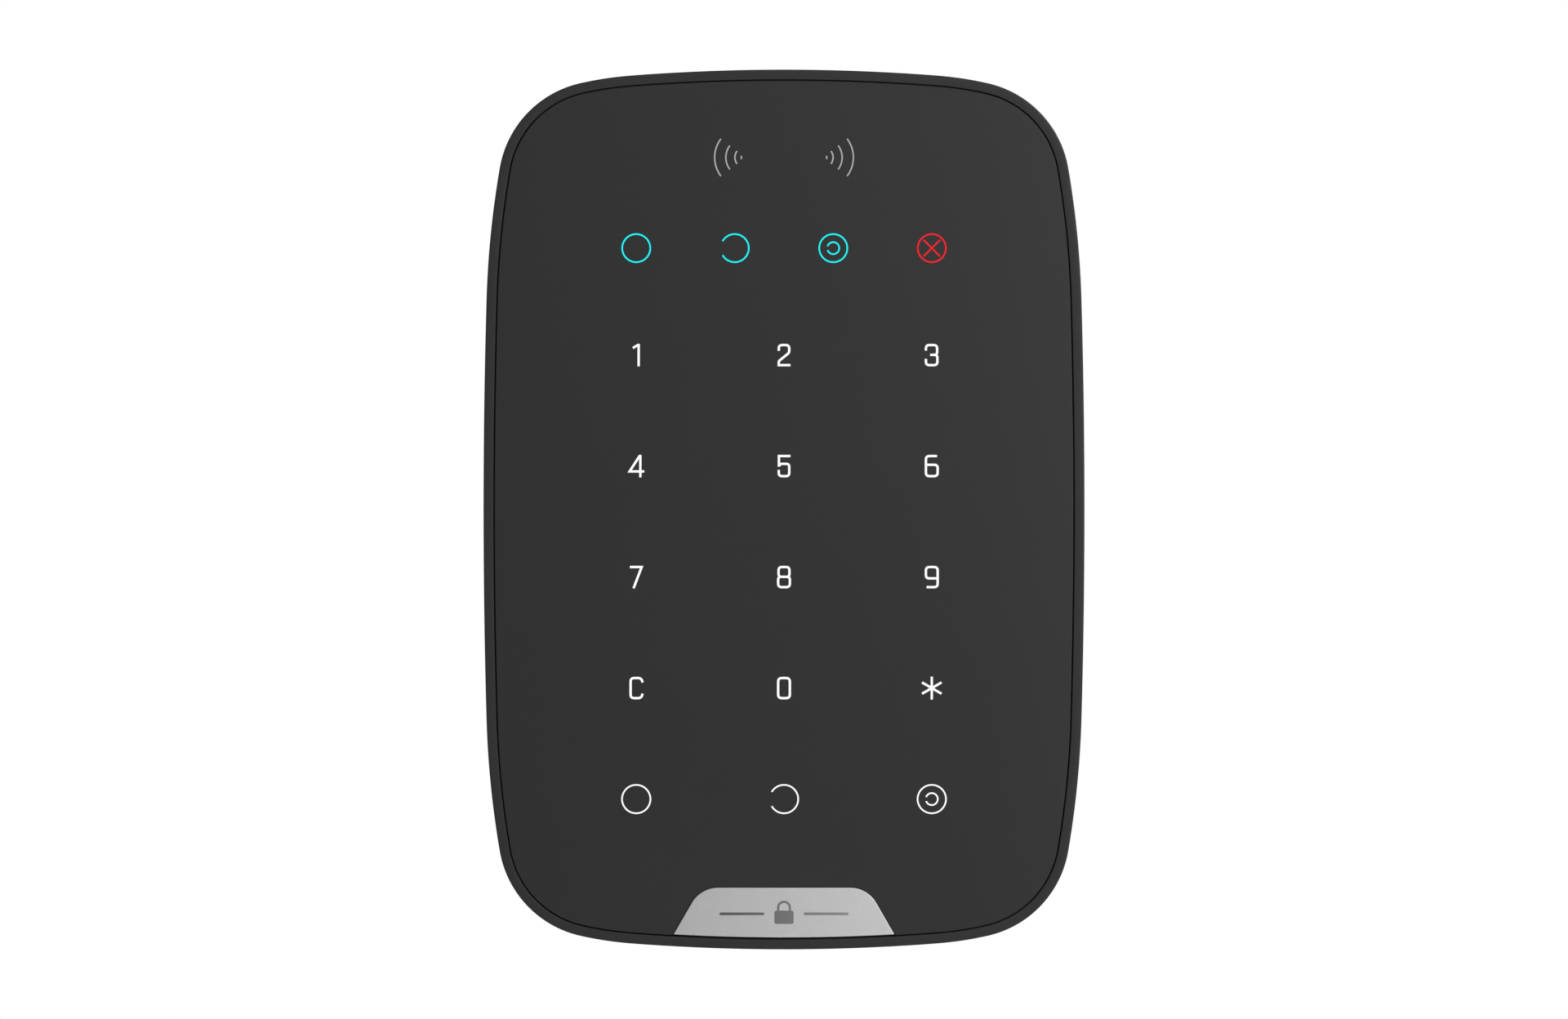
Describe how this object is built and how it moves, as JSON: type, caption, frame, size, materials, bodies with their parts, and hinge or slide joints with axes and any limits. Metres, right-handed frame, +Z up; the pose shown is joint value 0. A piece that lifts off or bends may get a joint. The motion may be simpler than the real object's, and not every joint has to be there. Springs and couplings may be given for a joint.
{
  "type": "keypad access reader",
  "caption": "Slim upright wall keypad with rounded corners, a flat backlit touch panel with digits, status lights and reader marks, a silver foot badge and a slide-on mounting plate.",
  "frame": {"origin": "centre of the mounting plate's back face, on the wall plane, which is also the middle of the keypad's width and height", "axes": "+X to the viewer's right across the width, +Z up along the height, +Y into the wall, so the touch panel faces -Y"},
  "size_m": [0.1128, 0.02, 0.165],
  "materials": {
    "bracket_plastic": "fine texture",
    "rear_plastic": "fine texture",
    "rim_plastic": "smooth satin",
    "panel_face": "smooth satin",
    "white_legend": "translucent white, lit from behind",
    "cyan_window": "translucent, lit from behind",
    "red_window": "translucent, lit from behind",
    "grey_print": "printed",
    "black_foam": "matt adhesive foam",
    "silver_badge": "satin, vertical brushing",
    "clear_tape": "double-sided tape",
    "touch_film": "clear printed foil",
    "diffuser": "milky film",
    "clear_plastic": "clear moulding",
    "circuit_board": "solder mask",
    "led_body": "moulded lens",
    "zinc_steel": "zinc plated",
    "amber_film": "polyimide film",
    "copper": "bare copper",
    "ferrite": "matt sheet",
    "black_chip": "moulded epoxy",
    "tinned_steel": "tin plated",
    "tan_ceramic": "ceramic",
    "ivory_plastic": "moulded",
    "cell_sleeve": "printed sleeve, no lettering",
    "nickel": "nickel plated",
    "blank_label": "blank silver-grey film",
    "light_plastic": "moulded light grey"
  },
  "bodies": {
    "mounting_plate": {"mounting_plate": "bracket_plastic"},
    "keypad": {"rear_housing": "rear_plastic", "front_housing": "rim_plastic", "front_panel": "panel_face", "digit_legends": "white_legend", "mode_legends": "white_legend", "status_windows": "cyan_window", "fault_window": "red_window", "reader_marks": "grey_print", "panel_adhesive": "black_foam", "badge": "silver_badge", "badge_adhesive": "clear_tape", "touch_foil": "touch_film", "diffuser_film": "diffuser", "key_light_pipes": "clear_plastic", "status_light_pipes": "clear_plastic", "main_board": "circuit_board", "key_leds": "led_body", "status_leds": "led_body", "board_screws": "zinc_steel", "housing_screws": "zinc_steel", "reader_antenna_film": "amber_film", "reader_antenna_coil": "copper", "ferrite_sheet": "ferrite", "controller_chip": "black_chip", "reader_chip": "black_chip", "radio_shield": "tinned_steel", "radio_antennas": "tinned_steel", "crystal": "tinned_steel", "capacitors": "tan_ceramic", "service_socket": "ivory_plastic", "sounder": "black_chip", "tamper_switch": "black_chip", "power_switch": "tinned_steel", "battery_cells": "cell_sleeve", "battery_caps": "nickel", "battery_springs": "nickel", "battery_contacts": "nickel", "rating_label": "blank_label"},
    "tamper_plunger": {"tamper_plunger": "light_plastic", "tamper_spring": "nickel"},
    "power_button": {"power_button": "light_plastic", "power_switch_stem": "black_chip"},
    "battery_door_left": {"battery_door_left": "rear_plastic"},
    "battery_door_right": {"battery_door_right": "rear_plastic"}
  },
  "joints": [
    {"name": "keypad_slide", "type": "slide", "parent": "mounting_plate", "child": "keypad", "axis": [0, 0, 1], "range_m": [0, 0.008]},
    {"name": "tamper_travel", "type": "slide", "parent": "keypad", "child": "tamper_plunger", "axis": [0, 1, 0], "range_m": [0, 0.001], "deforming": ["tamper_spring"]},
    {"name": "power_press", "type": "slide", "parent": "keypad", "child": "power_button", "axis": [0, -1, 0], "range_m": [0, 0.0005], "stiffness_N_per_m": 400, "springref_m": -0.002},
    {"name": "door_left_hinge", "type": "hinge", "parent": "keypad", "child": "battery_door_left", "pos_m": [-0.0426, -0.0014, 0.0386], "axis": [1, 0, 0], "range_deg": [0, 80]},
    {"name": "door_right_hinge", "type": "hinge", "parent": "keypad", "child": "battery_door_right", "pos_m": [0.0426, -0.0014, 0.0386], "axis": [1, 0, 0], "range_deg": [0, 80]}
  ],
  "couplings": [
    {"joint": "tamper_travel", "follows": "keypad_slide", "ratio": 0.125}
  ]
}
